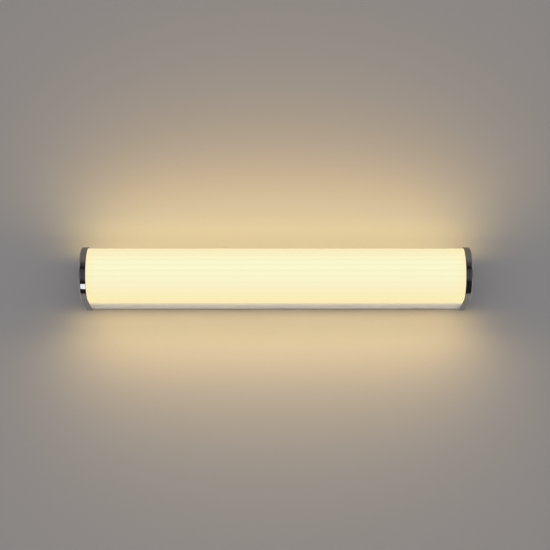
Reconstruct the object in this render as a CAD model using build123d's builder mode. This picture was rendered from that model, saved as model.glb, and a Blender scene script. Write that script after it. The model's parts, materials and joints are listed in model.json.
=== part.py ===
"""Wall light for above a bathroom mirror: a ribbed diffuser on a base tray between two chrome end caps.

Millimetres. X runs along the wall, +Y into the wall and +Z up. The origin is the centre of the face that
lies on the wall. Depths are distances from the wall, so a depth d is the plane Y = -d.
"""

import os

from build123d import *

os.makedirs("parts", exist_ok=True)

# Overall form
length = 400.0  # over both end caps
projection = 67.0  # wall to the front of the diffuser
half_height = 27.0  # mid-plane to the flat sides of diffuser and tray, and the radius of the round front

# Diffuser
diffuser_wall = 2.6
flute_pitch = 6.0
flute_depth = 0.45
tongue_length = 3.5  # edge that sits in the tray's groove
tongue_wall = 1.3

# Base tray
tray_rear = 2.5
tray_front = 24.0
tray_wall = 2.0
tray_edge_radius = 0.6
web_wall = 2.0  # plate across the tray that carries board and driver
web_setback = 0.5
rail_wall = 1.5
groove_clearance = 0.2

# End caps and their gaskets
cap_width = 7.0
cap_plate = 2.4
cap_proud = 1.2
cap_rear = 0.5
cap_lip = 1.2  # rim of the cap behind the tray
cap_clearance = 0.25
cap_edge_radius = 1.6
cap_rim_radius = 0.4
lug_length = 21.0
lug_height = 10.0
lug_thickness = 5.0
lug_spread = 14.0  # mid-plane to the middle of a lug
lug_screw_inset = 7.0
cap_gasket_thickness = 1.0
cap_gasket_rear = 3.0
lug_window_clearance = 0.2

# Wall bracket, its gasket and its locking screws
gasket_thickness = 2.0
gasket_setback = 2.0
gasket_end_gap = 0.6
gasket_hole_margin = 3.0
bracket_wall = 1.5
bracket_end_gap = 26.6
bracket_clearance = 0.3
bracket_bend = 1.0
flange_depth = 11.0
slot_width = 4.6
slot_length = 12.0
slot_inset = 20.0
entry_gap = 27.0  # driver to the middle of the cable entry
entry_hole_radius = 7.0
locking_inset = 70.0
locking_setback = 6.0
locking_radius = 2.0
locking_clearance = 0.3
locking_head_gap = 0.1
nut_radius = 3.5
nut_height = 3.0

# Cable grommet and lead grommet
cable_bore = 4.0
cable_lip = 1.5
cable_lip_width = 2.0
lead_lip = 1.0
lead_lip_width = 1.0
lead_hole_radius = 3.4
grommet_clearance = 0.05
grommet_edge = 0.5  # bevel of the front lip

# Board, light sources and connector
board_end_gap = 26.0
board_half_width = 9.0
board_wall = 1.6
board_screw_count = 4
board_screw_margin = 12.0
board_screw_z = 6.0
chip_pitch = 9.5
chip_margin = 5.0
chip_length = 3.5
chip_width = 2.8
chip_height = 0.7
connector_length = 9.0
connector_width = 6.0
connector_height = 4.0
connector_low = -8.5

# Driver
driver_length = 110.0
driver_nut_gap = 1.2
driver_clearance = 2.0
driver_corner = 2.0
cover_wall = 1.6
cover_margin = 1.5
cover_clearance = 0.1
ear_length = 8.0
ear_half_width = 5.0
ear_wall = 2.5

# Terminal block
block_gap = 57.0  # driver to terminal block
block_length = 22.0
block_half_width = 10.5
block_height = 13.5
block_base = 6.5
pole_spread = 6.5
pole_half_width = 3.5
pole_corner = 1.5
sleeve_radius = 2.4
sleeve_bore = 1.5
sleeve_recess = 1.0
sleeve_clearance = 0.05
clamp_radius = 1.3
clamp_inset = 6.0
clamp_sink = 1.0
clamp_slot = 0.5

# Leads
lead_level = 8.0  # mains leads and sleeves, from the web's rear face
mains_lead_radius = 1.1
mains_lead_bend = 6.0
mains_lead_bow = 4.0  # how far each lead bows aside for the supply cable
mains_lead_ramp = 8.0
mains_lead_straight = 11.0
mains_lead_overrun = 3.0  # past the clamp screw
board_lead_radius = 0.8
board_lead_bend = 3.5
board_lead_gap = 2.6
board_lead_inset = 48.6  # board's end to the middle of the leads
board_lead_reach = 17.0
board_lead_levels = (6.7, 9.7)
lead_hole_clearance = 0.2
lead_seat = 4.0

# Screws
screw_radius = 1.45
screw_clearance = 0.25
thread_clearance = 0.05
tip_gap = 0.3
head_ratio = 1.9  # a pan head's radius, height, edge and cross recess, all to the shank's radius
head_height_ratio = 1.25
head_edge_ratio = 0.5
recess_length_ratio = 1.9
recess_width_ratio = 0.45
recess_depth_ratio = 0.75

# Stations along the light
cap_face = length / 2 - cap_width
cap_floor = length / 2 - cap_plate
body_end = cap_floor - cap_gasket_thickness
board_end = body_end - board_end_gap
bracket_end = body_end - bracket_end_gap
lug_tip = cap_floor - lug_length
lead_hole_x = board_lead_inset - board_end
driver_left = lead_hole_x + board_lead_reach
driver_right = driver_left + driver_length
entry_x = driver_right + entry_gap
block_left = driver_right + block_gap
block_right = block_left + block_length
sleeve_left = block_left + sleeve_recess
sleeve_right = block_right - sleeve_recess

# Depths from the wall
side_end = projection - half_height
bracket_front = gasket_thickness + bracket_wall
locking_depth = gasket_thickness + locking_setback
web_front = tray_front - web_setback
web_rear = web_front - web_wall
lug_rear = web_rear - lug_thickness
board_front = web_front + board_wall
driver_rear = bracket_front + driver_clearance
ear_rear = web_rear - ear_wall
block_rear = web_rear - block_height
lead_depth = web_rear - lead_level
connector_depth = board_front + connector_height / 2
tongue_end = tray_front - tongue_length
groove_floor = tongue_end - groove_clearance

# Heights from the mid-plane
tray_inner = half_height - tray_wall
tongue_inner = half_height - diffuser_wall
tongue_outer = tongue_inner + tongue_wall
groove_inner = tongue_inner - groove_clearance
groove_outer = tongue_outer + groove_clearance
rail_inner = groove_inner - rail_wall
board_lead_z = -(board_half_width + rail_inner) / 2
flange_outer = tray_inner - bracket_clearance
flange_inner = flange_outer - bracket_wall
nut_bottom = flange_inner - nut_height
driver_half_height = nut_bottom - driver_nut_gap
locking_head = half_height + locking_head_gap
connector_top = connector_low + connector_width

# Screw places as (x, z)
right_cap_screws = [(lug_tip + lug_screw_inset, z) for z in (-lug_spread, lug_spread)]
cap_screw_places = right_cap_screws + [(-x, z) for x, z in right_cap_screws]
board_screw_step = 2 * (board_end - board_screw_margin) / (board_screw_count - 1)
board_screw_places = [
    (-board_end + board_screw_margin + board_screw_step * i, board_screw_z) for i in range(board_screw_count)
]
driver_screw_places = [(driver_left - ear_length / 2, 0), (driver_right + ear_length / 2, 0)]
block_screw_places = [((block_left + block_right) / 2, 0)]
clamp_places = [
    (x, z) for x in (block_left + clamp_inset, block_right - clamp_inset) for z in (-pole_spread, pole_spread)
]
locking_x = bracket_end - locking_inset
slot_x = bracket_end - slot_inset


def draw_front(rear, grow):
    """Draws the open D line, grow outside the crests of the diffuser, from depth rear round to depth rear."""
    top = Line((-rear, half_height + grow), (-side_end, half_height + grow))
    front = JernArc(top @ 1, top % 1, half_height + grow, 180)
    bottom = Line(front @ 1, (-rear, -half_height - grow))
    return top @ 0, bottom @ 1


def d_face(x, rear, grow):
    """The D-shaped face at station x, cut straight at depth rear."""
    with BuildSketch(Plane.YZ.offset(x)) as face:
        with BuildLine():
            Line(*draw_front(rear, grow))
        make_face()
    return face.sketch


def band(near, far, half, mode=Mode.ADD):
    """Rectangle of a cross-section between two depths, over the full height 2 * half."""
    with Locations((-(near + far) / 2, 0)):
        Rectangle(far - near, 2 * half, mode=mode)


def facing(direction, depth, places):
    """Planes at one depth and the (x, z) places, with Z along direction: 1 to the wall, -1 to the front."""
    return [Plane((x, -depth, z), x_dir=(1, 0, 0), z_dir=(0, direction, 0)) for x, z in places]


def drill(places, radius):
    """Holes along Y right through the part at the (x, z) places."""
    with Locations(*facing(1, 0, places)):
        Hole(radius)


def pan_screw(radius, shank):
    """Pan-head screw with a cross recess: the head stands on the XY plane and the shank runs down."""
    head_height = head_height_ratio * radius
    recess_length = recess_length_ratio * radius
    recess_width = recess_width_ratio * radius
    with BuildPart() as screw:
        Cylinder(head_ratio * radius, head_height, align=(Align.CENTER, Align.CENTER, Align.MIN))
        chamfer(screw.edges().group_by(Axis.Z)[-1], head_edge_ratio * radius)
        with BuildSketch(Plane.XY.offset(head_height)):
            Rectangle(recess_length, recess_width)
            Rectangle(recess_width, recess_length)
        extrude(amount=-recess_depth_ratio * radius, mode=Mode.SUBTRACT)
        Cylinder(radius, shank, align=(Align.CENTER, Align.CENTER, Align.MAX))
    return screw.part


def grommet(wall, hole, lip, lip_width, bore_places, bore):
    """Grommet about Z whose groove grips a sheet of thickness wall that lies below the XY plane."""
    waist = hole - grommet_clearance
    rim = hole + lip_width
    with BuildPart() as plug:
        with BuildSketch(Plane.XZ):
            with BuildLine():
                Polyline(
                    (0, lip),
                    (rim - grommet_edge, lip),
                    (rim, lip - grommet_edge),
                    (rim, 0),
                    (waist, 0),
                    (waist, -wall),
                    (rim, -wall),
                    (rim, -wall - lip),
                    (0, -wall - lip),
                    close=True,
                )
            make_face()
        revolve(axis=Axis.Z)
        with Locations(*bore_places):
            Hole(bore)
    return plug.part


def lead(points, radius, bend):
    """Insulated lead through the points, with every bend an arc."""
    with BuildPart() as wire:
        with BuildLine():
            route = FilletPolyline(*points, radius=bend)
        with BuildSketch(Plane(route @ 0, z_dir=route % 0)):
            Circle(radius)
        sweep()
    return wire.part


# Crests of the flutes lie on the D line, at equal steps along it, with one crest at the very front
with BuildLine() as crest:
    draw_front(tray_front, 0)
crest_wire = crest.wire()
flute_count = 2 * round((crest_wire.length / flute_pitch - 1) / 2) + 1


def flute_point(half_step, depth):
    """Point depth inside the D line: even half steps are valleys between flutes, odd ones their crests."""
    share = half_step / (2 * flute_count)
    inward = (crest_wire % share).rotate(Axis.Z, 90)
    return crest_wire @ share + inward * depth


# Diffuser: convex flutes outside, smooth inside, with a tongue along each rear edge
with BuildPart() as diffuser:
    with BuildSketch(Plane.YZ):
        with BuildLine():
            for flute in range(flute_count):
                start = flute_point(2 * flute, flute_depth)
                middle = flute_point(2 * flute + 1, 0)
                end = flute_point(2 * flute + 2, flute_depth)
                ThreePointArc(start, middle, end)
            Line(end, flute_point(0, flute_depth))
        make_face()
        band(tongue_end, tray_front, tongue_outer)
        with BuildLine():
            Line(*draw_front(tongue_end, -diffuser_wall))
        make_face(mode=Mode.SUBTRACT)
    extrude(amount=body_end, both=True)
diffuser.part.label = "diffuser"
export_step(diffuser.part, "parts/diffuser.step")

# Base tray: channel open to the wall, with a web across it and a groove for each tongue of the diffuser
with BuildPart() as base_tray:
    with BuildSketch(Plane.YZ) as tray_section:
        band(tray_rear, tray_front, half_height)
        fillet(tray_section.vertices().group_by(Axis.X)[-1], tray_edge_radius)
        band(tray_rear, groove_floor - rail_wall, tray_inner, mode=Mode.SUBTRACT)
        band(tray_rear, web_rear, rail_inner, mode=Mode.SUBTRACT)
        band(web_front, tray_front, rail_inner, mode=Mode.SUBTRACT)
        for side in (-1, 1):
            with Locations((-(groove_floor + tray_front) / 2, side * (groove_inner + groove_outer) / 2)):
                Rectangle(tray_front - groove_floor, groove_outer - groove_inner, mode=Mode.SUBTRACT)
    extrude(amount=body_end, both=True)
    with BuildSketch(Plane.XY.offset(half_height)):
        for side in (-1, 1):
            with Locations((side * locking_x, -locking_depth / 2)):
                SlotCenterToCenter(locking_depth, 2 * (locking_radius + locking_clearance), rotation=90)
    extrude(amount=-tray_wall, mode=Mode.SUBTRACT)
    drill(cap_screw_places + board_screw_places, screw_radius + thread_clearance)
    drill(driver_screw_places + block_screw_places, screw_radius + thread_clearance)
    drill([(lead_hole_x, board_lead_z)], lead_hole_radius)
base_tray.part.label = "base_tray"
export_step(base_tray.part, "parts/base_tray.step")

# End caps: D-shaped cups, each with two lugs that are screwed to the tray's web from behind
with BuildPart() as end_cap_right:
    extrude(d_face(cap_face, cap_rear, cap_proud), amount=cap_width)
    outer_edges = end_cap_right.edges().group_by(Axis.X)[-1].sort_by(Axis.Y)[:-1]
    fillet(outer_edges, cap_edge_radius)
    rim_edges = end_cap_right.edges().group_by(Axis.X)[0].sort_by(Axis.Y)[:-1]
    fillet(rim_edges, cap_rim_radius)
    pocket = d_face(cap_face, cap_rear + cap_lip, cap_clearance)
    extrude(pocket, amount=cap_width - cap_plate, mode=Mode.SUBTRACT)
    with BuildSketch(Plane.XZ.offset(lug_rear)):
        for side in (-1, 1):
            with Locations(((lug_tip + cap_floor) / 2, side * lug_spread)):
                Rectangle(lug_length, lug_height)
    extrude(amount=lug_thickness)
    drill(right_cap_screws, screw_radius + screw_clearance)
end_cap_right.part.label = "end_cap_right"
export_step(end_cap_right.part, "parts/end_cap_right.step")

with BuildPart() as end_cap_left:
    mirror(end_cap_right.part, about=Plane.YZ)
end_cap_left.part.label = "end_cap_left"
export_step(end_cap_left.part, "parts/end_cap_left.step")

# Cap gaskets: flat pads between the floor of each cap and the ends of tray and diffuser, with lug windows
with BuildPart() as cap_gasket_right:
    extrude(d_face(body_end, cap_gasket_rear, 0), amount=cap_gasket_thickness)
    with BuildSketch(Plane.YZ.offset(body_end)):
        for side in (-1, 1):
            with Locations((-(lug_rear + web_rear) / 2, side * lug_spread)):
                Rectangle(lug_thickness + 2 * lug_window_clearance, lug_height + 2 * lug_window_clearance)
    extrude(amount=cap_gasket_thickness, mode=Mode.SUBTRACT)
cap_gasket_right.part.label = "cap_gasket_right"
export_step(cap_gasket_right.part, "parts/cap_gasket_right.step")

with BuildPart() as cap_gasket_left:
    mirror(cap_gasket_right.part, about=Plane.YZ)
cap_gasket_left.part.label = "cap_gasket_left"
export_step(cap_gasket_left.part, "parts/cap_gasket_left.step")

# Cap screws: from behind, through the lugs into the web
with BuildPart() as cap_screws:
    with Locations(*facing(1, lug_rear, cap_screw_places)):
        add(pan_screw(screw_radius, lug_thickness + web_wall - tip_gap))
cap_screws.part.label = "cap_screws"
export_step(cap_screws.part, "parts/cap_screws.step")

# Wall bracket: folded channel with slots for the wall screws and a hole for the supply cable
with BuildPart() as wall_bracket:
    with BuildSketch(Plane.YZ) as fold:
        band(gasket_thickness, gasket_thickness + flange_depth, flange_outer)
        fillet(fold.vertices().group_by(Axis.X)[-1], bracket_bend + bracket_wall)
        with BuildSketch(mode=Mode.SUBTRACT) as inside:
            band(bracket_front, gasket_thickness + flange_depth, flange_inner)
            fillet(inside.vertices().group_by(Axis.X)[-1], bracket_bend)
    extrude(amount=bracket_end, both=True)
    with BuildSketch(Plane.XZ.offset(gasket_thickness)):
        for side in (-1, 1):
            with Locations((side * slot_x, 0)):
                SlotOverall(slot_length, slot_width)
        with Locations((entry_x, 0)):
            Circle(entry_hole_radius)
    extrude(amount=bracket_wall, mode=Mode.SUBTRACT)
    with Locations((-locking_x, -locking_depth, flange_outer), (locking_x, -locking_depth, flange_outer)):
        Hole(locking_radius + thread_clearance, depth=bracket_wall)
wall_bracket.part.label = "wall_bracket"
export_step(wall_bracket.part, "parts/wall_bracket.step")

# Wall gasket: foam sheet behind the bracket, with room round the slots and the grommet
with BuildPart() as wall_gasket:
    with BuildSketch(Plane.XZ):
        Rectangle(2 * (cap_face - gasket_end_gap), 2 * (half_height - gasket_setback))
        for side in (-1, 1):
            with Locations((side * slot_x, 0)):
                window_length = slot_length + 2 * gasket_hole_margin
                window_width = slot_width + 2 * gasket_hole_margin
                SlotOverall(window_length, window_width, mode=Mode.SUBTRACT)
        with Locations((entry_x, 0)):
            Circle(entry_hole_radius + cable_lip_width + gasket_hole_margin, mode=Mode.SUBTRACT)
    extrude(amount=gasket_thickness)
wall_gasket.part.label = "wall_gasket"
export_step(wall_gasket.part, "parts/wall_gasket.step")

# Cable grommet in the bracket
with BuildPart() as cable_grommet:
    with Locations(*facing(-1, bracket_front, [(entry_x, 0)])):
        add(grommet(bracket_wall, entry_hole_radius, cable_lip, cable_lip_width, [(0, 0)], cable_bore))
cable_grommet.part.label = "cable_grommet"
export_step(cable_grommet.part, "parts/cable_grommet.step")

# Clinch nuts under the bracket's top flange
with BuildPart() as clinch_nuts:
    with Locations((-locking_x, -locking_depth, flange_inner), (locking_x, -locking_depth, flange_inner)):
        Cylinder(nut_radius, nut_height, align=(Align.CENTER, Align.CENTER, Align.MAX))
        Hole(locking_radius + thread_clearance, depth=nut_height)
clinch_nuts.part.label = "clinch_nuts"
export_step(clinch_nuts.part, "parts/clinch_nuts.step")

# Locking screws: through the tray's notches into the clinch nuts
with BuildPart() as locking_screws:
    with Locations((-locking_x, -locking_depth, locking_head), (locking_x, -locking_depth, locking_head)):
        add(pan_screw(locking_radius, locking_head - nut_bottom))
locking_screws.part.label = "locking_screws"
export_step(locking_screws.part, "parts/locking_screws.step")

# Board on the front of the web
with BuildPart() as led_board:
    with BuildSketch(Plane.XZ.offset(web_front)):
        Rectangle(2 * board_end, 2 * board_half_width)
    extrude(amount=board_wall)
    drill(board_screw_places, screw_radius + screw_clearance)
led_board.part.label = "led_board"
export_step(led_board.part, "parts/led_board.step")

# Light sources in one row along the board
with BuildPart() as led_chips:
    chip_count = int(2 * (board_end - chip_margin) / chip_pitch)
    with BuildSketch(Plane.XZ.offset(board_front)):
        with GridLocations(chip_pitch, chip_width, chip_count, 1):
            Rectangle(chip_length, chip_width)
    extrude(amount=chip_height)
led_chips.part.label = "led_chips"
export_step(led_chips.part, "parts/led_chips.step")

# Screws that hold the board to the web
with BuildPart() as board_screws:
    with Locations(*facing(-1, board_front, board_screw_places)):
        add(pan_screw(screw_radius, board_wall + web_wall - tip_gap))
board_screws.part.label = "board_screws"
export_step(board_screws.part, "parts/board_screws.step")

# Connector on the board, with a socket for each lead
lead_hole_xs = (lead_hole_x + board_lead_gap / 2, lead_hole_x - board_lead_gap / 2)
with BuildPart() as led_connector:
    with BuildSketch(Plane.XZ.offset(board_front)):
        with Locations((lead_hole_x, (connector_low + connector_top) / 2)):
            Rectangle(connector_length, connector_width)
    extrude(amount=connector_height)
    with Locations(*[Plane((x, -connector_depth, connector_low), z_dir=(0, 0, -1)) for x in lead_hole_xs]):
        Hole(board_lead_radius + lead_hole_clearance, depth=lead_seat)
led_connector.part.label = "led_connector"
export_step(led_connector.part, "parts/led_connector.step")

# Grommet where the board's leads pass the web, each through a bore of its own
lead_bores = [(-board_lead_gap / 2, 0), (board_lead_gap / 2, 0)]
lead_bore = board_lead_radius + lead_hole_clearance
with BuildPart() as lead_grommet:
    with Locations(*facing(-1, web_front, [(lead_hole_x, board_lead_z)])):
        add(grommet(web_wall, lead_hole_radius, lead_lip, lead_lip_width, lead_bores, lead_bore))
lead_grommet.part.label = "lead_grommet"
export_step(lead_grommet.part, "parts/lead_grommet.step")

# Driver: closed case with an ear at each end, lead holes and a recess for its cover
driver_middle = (driver_left + driver_right) / 2
with BuildPart() as driver_case:
    with BuildSketch(Plane.XZ.offset(driver_rear)):
        with Locations((driver_middle, 0)):
            RectangleRounded(driver_length, 2 * driver_half_height, driver_corner)
    extrude(amount=web_rear - driver_rear)
    with BuildSketch(Plane.XZ.offset(ear_rear)):
        for x, z in driver_screw_places:
            with Locations((x, z)):
                Rectangle(ear_length, 2 * ear_half_width)
    extrude(amount=ear_wall)
    with BuildSketch(Plane.XZ.offset(driver_rear)):
        with Locations((driver_middle, 0)):
            Rectangle(driver_length - 2 * cover_margin, 2 * (driver_half_height - cover_margin))
    extrude(amount=cover_wall, mode=Mode.SUBTRACT)
    drill(driver_screw_places, screw_radius + screw_clearance)
    for z in (-pole_spread, pole_spread):
        with Locations(Plane((driver_right, -lead_depth, z), z_dir=(1, 0, 0))):
            Hole(mains_lead_radius + lead_hole_clearance, depth=lead_seat)
    for level in board_lead_levels:
        with Locations(Plane((driver_left, level - web_rear, board_lead_z), z_dir=(-1, 0, 0))):
            Hole(board_lead_radius + lead_hole_clearance, depth=lead_seat)
driver_case.part.label = "driver_case"
export_step(driver_case.part, "parts/driver_case.step")

with BuildPart() as driver_cover:
    cover_inset = cover_margin + cover_clearance
    with BuildSketch(Plane.XZ.offset(driver_rear)):
        with Locations((driver_middle, 0)):
            Rectangle(driver_length - 2 * cover_inset, 2 * (driver_half_height - cover_inset))
    extrude(amount=cover_wall)
driver_cover.part.label = "driver_cover"
export_step(driver_cover.part, "parts/driver_cover.step")

with BuildPart() as driver_screws:
    with Locations(*facing(1, ear_rear, driver_screw_places)):
        add(pan_screw(screw_radius, ear_wall + web_wall - tip_gap))
driver_screws.part.label = "driver_screws"
export_step(driver_screws.part, "parts/driver_screws.step")

# Terminal block: a base with one barrel for each pole, bored for the sleeves and their clamp screws
with BuildPart() as terminal_block:
    with BuildSketch(Plane.YZ.offset(block_left)) as block_section:
        band(web_rear - block_base, web_rear, block_half_width)
        for side in (-1, 1):
            with Locations((-(block_rear + web_rear) / 2, side * pole_spread)):
                Rectangle(block_height, 2 * pole_half_width)
        fillet(block_section.vertices().group_by(Axis.X)[-1], pole_corner)
        for side in (-1, 1):
            with Locations((-lead_depth, side * pole_spread)):
                Circle(sleeve_radius + sleeve_clearance, mode=Mode.SUBTRACT)
    extrude(amount=block_length)
    drill(block_screw_places, screw_radius + screw_clearance)
    with Locations(*facing(1, block_rear, clamp_places)):
        Hole(clamp_radius + screw_clearance, depth=lead_depth - block_rear)
terminal_block.part.label = "terminal_block"
export_step(terminal_block.part, "parts/terminal_block.step")

with BuildPart() as terminal_sleeves:
    with BuildSketch(Plane.YZ.offset(sleeve_left)):
        for side in (-1, 1):
            with Locations((-lead_depth, side * pole_spread)):
                Circle(sleeve_radius)
                Circle(sleeve_bore, mode=Mode.SUBTRACT)
    extrude(amount=sleeve_right - sleeve_left)
    with Locations(*facing(1, lead_depth - sleeve_radius, clamp_places)):
        Hole(clamp_radius + thread_clearance, depth=sleeve_radius)
terminal_sleeves.part.label = "terminal_sleeves"
export_step(terminal_sleeves.part, "parts/terminal_sleeves.step")

# Clamp screws of the sleeves: slotted, and just short of the leads
clamp_top = block_rear + clamp_sink
clamp_tip = lead_depth - mains_lead_radius - lead_hole_clearance
with BuildPart() as terminal_screws:
    with BuildSketch(Plane.XZ.offset(clamp_top)):
        with Locations(*clamp_places):
            Circle(clamp_radius)
    extrude(amount=clamp_tip - clamp_top)
    with BuildSketch(Plane.XZ.offset(clamp_top)):
        with Locations(*clamp_places):
            Rectangle(2 * clamp_radius, clamp_slot)
    extrude(amount=clamp_slot, mode=Mode.SUBTRACT)
terminal_screws.part.label = "terminal_screws"
export_step(terminal_screws.part, "parts/terminal_screws.step")

with BuildPart() as terminal_fixing_screw:
    with Locations(*facing(1, web_rear - block_base, block_screw_places)):
        add(pan_screw(screw_radius, block_base + web_wall - tip_gap))
terminal_fixing_screw.part.label = "terminal_fixing_screw"
export_step(terminal_fixing_screw.part, "parts/terminal_fixing_screw.step")


def mains_route(side):
    """Route of one mains lead, with side 1 for the upper pole and -1 for the lower one."""
    bow_z = pole_spread + mains_lead_bow
    bow_start = driver_right + mains_lead_straight
    bow_end = block_left - mains_lead_straight
    steps = [
        (driver_right - lead_seat + lead_hole_clearance, pole_spread),
        (bow_start, pole_spread),
        (bow_start + mains_lead_ramp, bow_z),
        (bow_end - mains_lead_ramp, bow_z),
        (bow_end, pole_spread),
        (block_left + clamp_inset + clamp_radius + mains_lead_overrun, pole_spread),
    ]
    return [(x, -lead_depth, side * z) for x, z in steps]


# Mains leads between driver and terminal block
with BuildPart() as live_lead:
    add(lead(mains_route(1), mains_lead_radius, mains_lead_bend))
live_lead.part.label = "live_lead"
export_step(live_lead.part, "parts/live_lead.step")

with BuildPart() as neutral_lead:
    add(lead(mains_route(-1), mains_lead_radius, mains_lead_bend))
neutral_lead.part.label = "neutral_lead"
export_step(neutral_lead.part, "parts/neutral_lead.step")


def board_route(x, level):
    """Route of one board lead: out of the driver, through the web at x, then up into the connector."""
    depth = web_rear - level
    seat = driver_left + lead_seat - lead_hole_clearance
    tip = connector_low + lead_seat - lead_hole_clearance
    return [
        (seat, -depth, board_lead_z),
        (x, -depth, board_lead_z),
        (x, -connector_depth, board_lead_z),
        (x, -connector_depth, tip),
    ]


with BuildPart() as led_lead_positive:
    add(lead(board_route(lead_hole_xs[0], board_lead_levels[0]), board_lead_radius, board_lead_bend))
led_lead_positive.part.label = "led_lead_positive"
export_step(led_lead_positive.part, "parts/led_lead_positive.step")

with BuildPart() as led_lead_negative:
    add(lead(board_route(lead_hole_xs[1], board_lead_levels[1]), board_lead_radius, board_lead_bend))
led_lead_negative.part.label = "led_lead_negative"
export_step(led_lead_negative.part, "parts/led_lead_negative.step")
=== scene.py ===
"""Dressed model of a bathroom mirror light: fluted, lit diffuser on a white tray between two chrome end caps.

Metres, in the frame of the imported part: X along the wall, +Y into the wall, +Z up, with the origin at the
middle of the face that lies on the wall. A depth is a distance from the wall, so it runs along -Y.
"""

import json
import math

import bpy
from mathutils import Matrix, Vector

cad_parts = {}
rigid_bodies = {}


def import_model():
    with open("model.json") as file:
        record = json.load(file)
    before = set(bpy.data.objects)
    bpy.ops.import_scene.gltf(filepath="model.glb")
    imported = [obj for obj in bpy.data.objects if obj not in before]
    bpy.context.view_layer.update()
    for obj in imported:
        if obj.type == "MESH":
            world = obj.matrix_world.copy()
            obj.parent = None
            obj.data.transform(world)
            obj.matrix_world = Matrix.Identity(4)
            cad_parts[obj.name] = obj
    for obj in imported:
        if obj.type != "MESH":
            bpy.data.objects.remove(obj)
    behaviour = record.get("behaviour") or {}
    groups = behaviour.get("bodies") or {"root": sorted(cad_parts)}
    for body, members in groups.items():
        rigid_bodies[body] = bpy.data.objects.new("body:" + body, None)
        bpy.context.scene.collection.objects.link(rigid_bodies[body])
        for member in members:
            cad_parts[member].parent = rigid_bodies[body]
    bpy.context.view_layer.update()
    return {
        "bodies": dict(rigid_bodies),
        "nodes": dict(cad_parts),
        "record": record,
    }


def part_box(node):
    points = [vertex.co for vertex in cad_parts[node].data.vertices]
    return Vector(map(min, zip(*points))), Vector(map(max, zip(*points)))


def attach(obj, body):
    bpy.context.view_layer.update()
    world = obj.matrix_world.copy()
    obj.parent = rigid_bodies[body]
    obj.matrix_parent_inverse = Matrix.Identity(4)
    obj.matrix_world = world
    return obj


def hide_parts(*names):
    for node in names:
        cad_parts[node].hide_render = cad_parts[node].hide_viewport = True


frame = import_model()
slot_of = {part["node"]: part["material_slot"] for part in frame["record"]["subparts"]}

MM = 0.001
BLACK = (0.0, 0.0, 0.0)

# Sizes from the frame
diffuser_low, diffuser_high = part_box("diffuser")
foam_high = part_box("wall_gasket")[1]
HALF_LENGTH = diffuser_high.x
HALF_HEIGHT = diffuser_high.z
FLAT_END = -diffuser_low.y - HALF_HEIGHT  # depth where the flat sides turn into the round front
TONGUE_END = -diffuser_high.y
TRAY_FRONT = -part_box("base_tray")[0].y  # depth where tray and diffuser meet
ARC_HALF = math.pi / 2 * HALF_HEIGHT + FLAT_END - TRAY_FRONT  # half of the diffuser's outer D line
CAP_DEPTH = -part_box("end_cap_left")[0].y

# Diffuser
FLUTES = 19
FLUTE_DEPTH = 0.45 * MM
FLUTE_STEPS = 12
DIFFUSER_WALL = 2.6 * MM
TONGUE_WALL = 1.3 * MM
INNER_STEPS = 64
CREASE = math.radians(25)  # edges that turn by more than this stay sharp

# Screws
SCREW_RADIUS = 1.45 * MM
LOCKING_RADIUS = 2.0 * MM
HEAD_RATIO = 1.9  # a pan head's sizes, all to the shank's radius
HEAD_HEIGHT_RATIO = 1.25
HEAD_EDGE_RATIO = 0.55
RECESS_LENGTH_RATIO = 1.9
RECESS_WIDTH_RATIO = 0.42
RECESS_DEPTH_RATIO = 0.75
THREAD_PITCH_RATIO = 0.42
THREAD_DEPTH_RATIO = 0.16
TIP_RATIO = 1.5  # the tip's bevel to the thread's depth
SCREW_SIDES = 40
TIP_ROWS = 2  # face and bevel
SHANK_ROWS = 90
THREAD_IN_ROWS = 4  # over which the thread gets its depth
THREAD_OUT_ROWS = 5
PLAIN_ROWS = 1  # between thread and head
HEAD_ROWS = 2  # underside and edge
DOME_ROWS = 9
WELD = 0.002 * MM
TO_WALL = (0, 1, 0)
TO_FRONT = (0, -1, 0)
UP = (0, 0, 1)

# Sets of screws: CAD node, body, shank radius, counts along X, Y and Z, facing of heads, seed of their turns
SCREW_SETS = [
    ("cap_screws", "light", SCREW_RADIUS, (2, 1, 2), TO_WALL, 1),
    ("board_screws", "light", SCREW_RADIUS, (4, 1, 1), TO_FRONT, 2),
    ("driver_screws", "light", SCREW_RADIUS, (2, 1, 1), TO_WALL, 3),
    ("terminal_fixing_screw", "light", SCREW_RADIUS, (1, 1, 1), TO_WALL, 4),
    ("locking_screws", "wall_mount", LOCKING_RADIUS, (2, 1, 1), UP, 5),
]

# Grain and dust
GRAIN_SHARE = 0.45  # of the tone; the larger patches make up the rest
GRAIN_HEIGHT = 0.1 * MM
FINE_HEIGHT = 0.05 * MM  # on smooth moulded and rolled faces
DUST_FLATNESS = (0.55, 0.98)  # upward part of the normal where dust starts to lie, and where it lies fully
DUST_SPECKS = 420.0  # per metre
DUST_VEIL = (0.35, 0.7)  # levels of the specks between which dust thickens
DUST_TONE = (0.42, 0.4, 0.37)
DUST_ROUGHNESS = 0.4

# Light that leaves the diffuser, by the face's turn up or down from straight ahead, in degrees
DIFFUSER_SIDE = (0.86, 0.72, 0.40)
DIFFUSER_GLOW = [
    (-75, (0.90, 0.80, 0.43)),
    (-45, (0.918, 0.838, 0.525)),
    (-25, (0.925, 0.875, 0.558)),
    (0, (0.926, 0.896, 0.566)),
    (12, (0.935, 0.90, 0.566)),
    (30, (0.916, 0.855, 0.525)),
    (48, (0.905, 0.80, 0.47)),
]
CAP_FADE = 16 * MM  # stretch beside each cap where the diffuser's light turns warmer
CAP_WARMTH = 0.6
CAP_TONE = (0.93, 0.81, 0.43)
LEAST_AHEAD = 0.001 * MM  # keeps the turn within a right angle on the flat sides
VALLEY_START = 0.30  # shares of a flute's width from its crest
VALLEY_END = 0.5
VALLEY_SHADE = 0.072  # at the share of the D line where the valleys are darkest
DARKEST_SHARE = 0.52
VALLEY_FADE = 0.15
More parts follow.
